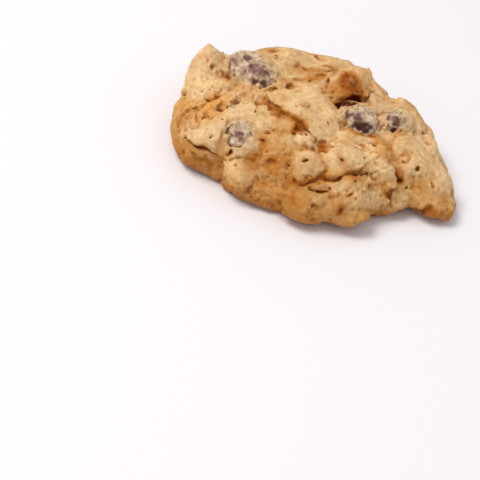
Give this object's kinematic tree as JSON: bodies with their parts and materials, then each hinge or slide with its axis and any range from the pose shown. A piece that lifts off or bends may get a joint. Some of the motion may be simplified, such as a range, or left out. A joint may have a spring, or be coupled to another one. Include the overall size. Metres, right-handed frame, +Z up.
{
  "type": "oatmeal raisin cookie",
  "caption": "Thick, craggy drop cookie of oat dough with a flat browned underside and plump raisins sunk in its top and sides.",
  "frame": {"origin": "under the middle of the cookie's bounding box, on the flat underside", "axes": "+Z up, square to the flat underside; +X along the cookie's widest line, towards its low tip; -Y is the side that faces the viewer"},
  "size_m": [0.074, 0.0658, 0.0202],
  "materials": {
    "dough": "baked oat dough: matte, rough and porous, pale tan on top, golden brown at the rim and underside",
    "raisin": "mauve-brown raisin skin, satin, partly covered by a thin film of baked dough"
  },
  "bodies": {
    "root": {"dough": "dough", "raisin_top_left": "raisin", "raisin_front_left": "raisin", "raisin_top_right": "raisin", "raisin_right": "raisin", "raisin_back": "raisin", "raisin_back_right": "raisin", "raisin_back_left": "raisin"}
  },
  "joints": []
}
